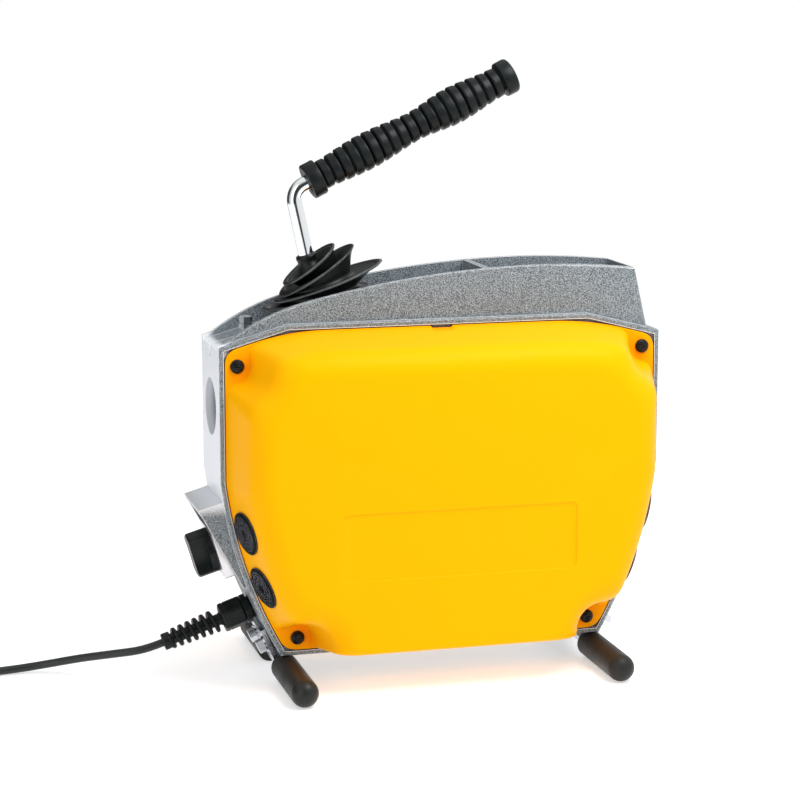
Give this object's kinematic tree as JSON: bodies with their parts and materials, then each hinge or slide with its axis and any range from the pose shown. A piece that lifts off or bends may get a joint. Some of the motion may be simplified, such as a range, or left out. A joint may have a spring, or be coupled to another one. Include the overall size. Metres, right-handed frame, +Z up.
{
  "type": "drain cleaning machine",
  "caption": "Drain cable machine: narrow cast frame with bulged side covers, hollow spindle, bent clutch lever with ribbed grip and bellows boot, tool tray, bar feet and mains lead.",
  "frame": {"origin": "on the floor, under the middle of the machine's outline box, cord and gland left out", "axes": "+X from the front bore to the rear bore along the spindle, +Y from the near cover to the far cover, +Z up"},
  "size_m": [0.7001, 0.3503, 0.535],
  "materials": {
    "casting_paint": "hammered grey enamel, machined bare at the front face",
    "cover_yellow": "satin yellow moulding",
    "black_plastic": "fine-textured black",
    "black_screw": "blackened steel",
    "ground_steel": "ground",
    "zinc_plate": "bright zinc plate",
    "chrome_rod": "polished",
    "bare_aluminium": "machined",
    "soft_rubber": "moulded",
    "cord_sheath": "smooth sheath",
    "pale_nylon": "natural"
  },
  "bodies": {
    "root": {"main_housing": "casting_paint", "near_cover": "cover_yellow", "far_cover": "cover_yellow", "vent_plugs": "black_plastic", "cover_screws": "black_screw", "front_bearing": "ground_steel", "rear_bearing": "ground_steel", "rear_guide_ring": "pale_nylon", "drive_belt": "soft_rubber", "boot_retainer": "soft_rubber", "lever_boot": "soft_rubber", "locking_screw": "zinc_plate", "locking_nut": "zinc_plate", "motor_frame": "bare_aluminium", "motor_stator": "ground_steel", "motor_front_shield": "bare_aluminium", "motor_rear_shield": "bare_aluminium", "motor_bearings": "ground_steel", "motor_screws": "zinc_plate", "run_capacitor": "pale_nylon", "capacitor_clip": "zinc_plate", "switch_plate": "bare_aluminium", "switch_body": "black_plastic", "gland_body": "black_plastic", "gland_lock_nut": "black_plastic", "gland_nut": "black_plastic", "strain_relief": "black_plastic", "power_cord": "cord_sheath", "cord_coil": "cord_sheath", "cord_tail": "cord_sheath", "plug": "black_plastic", "front_foot_bar": "zinc_plate", "rear_foot_bar": "zinc_plate", "front_near_foot_cap": "soft_rubber", "front_far_foot_cap": "soft_rubber", "rear_near_foot_cap": "soft_rubber", "rear_far_foot_cap": "soft_rubber", "foot_bolts": "zinc_plate"},
    "spindle": {"spindle": "ground_steel", "jaw_band": "ground_steel", "driven_pulley": "bare_aluminium", "pulley_circlips": "ground_steel", "return_spring": "ground_steel"},
    "jaw_1": {"jaw_1": "ground_steel"},
    "jaw_2": {"jaw_2": "ground_steel"},
    "jaw_3": {"jaw_3": "ground_steel"},
    "sleeve": {"pressure_sleeve": "ground_steel"},
    "lever": {"lever_hub": "ground_steel", "lever_shaft": "ground_steel", "fork_arms": "ground_steel", "fork_shoes": "pale_nylon", "shaft_clips": "ground_steel", "lever_rod": "chrome_rod", "lever_grip": "soft_rubber"},
    "motor_shaft": {"motor_rotor": "ground_steel", "motor_fan": "black_plastic", "drive_pulley": "bare_aluminium"},
    "knob": {"switch_knob": "black_plastic"}
  },
  "joints": [
    {"name": "lever_pull", "type": "hinge", "parent": "root", "child": "lever", "pos_m": [-0.08294, 0, 0.286], "axis": [0, 1, 0], "range_deg": [0, 20], "stiffness_Nm_per_rad": 6, "springref_deg": -8.59, "deforming": ["lever_boot", "return_spring"]},
    {"name": "spindle_spin", "type": "hinge", "parent": "root", "child": "spindle", "pos_m": [0.01206, 0, 0.2408], "axis": [1, 0, 0], "continuous": true},
    {"name": "sleeve_slide", "type": "slide", "parent": "spindle", "child": "sleeve", "axis": [-1, 0, 0], "range_m": [0, 0.0158]},
    {"name": "jaw_1_slide", "type": "slide", "parent": "spindle", "child": "jaw_1", "axis": [0, 0, -1], "range_m": [0, 0.0031]},
    {"name": "jaw_2_slide", "type": "slide", "parent": "spindle", "child": "jaw_2", "axis": [0, -0.866, 0.5], "range_m": [0, 0.0031]},
    {"name": "jaw_3_slide", "type": "slide", "parent": "spindle", "child": "jaw_3", "axis": [0, 0.866, 0.5], "range_m": [0, 0.0031]},
    {"name": "motor_spin", "type": "hinge", "parent": "root", "child": "motor_shaft", "pos_m": [0.01206, 0, 0.125], "axis": [1, 0, 0], "continuous": true},
    {"name": "switch_turn", "type": "hinge", "parent": "root", "child": "knob", "pos_m": [-0.18594, 0, 0.1145], "axis": [-0.9578, 0, -0.2874], "range_deg": [-60, 60]}
  ],
  "couplings": [
    {"joint": "sleeve_slide", "follows": "lever_pull", "m_per_rad": 0.045},
    {"joint": "jaw_1_slide", "follows": "lever_pull", "m_per_rad": 0.008594},
    {"joint": "jaw_2_slide", "follows": "lever_pull", "m_per_rad": 0.008594},
    {"joint": "jaw_3_slide", "follows": "lever_pull", "m_per_rad": 0.008594},
    {"joint": "motor_spin", "follows": "spindle_spin", "ratio": 2}
  ]
}
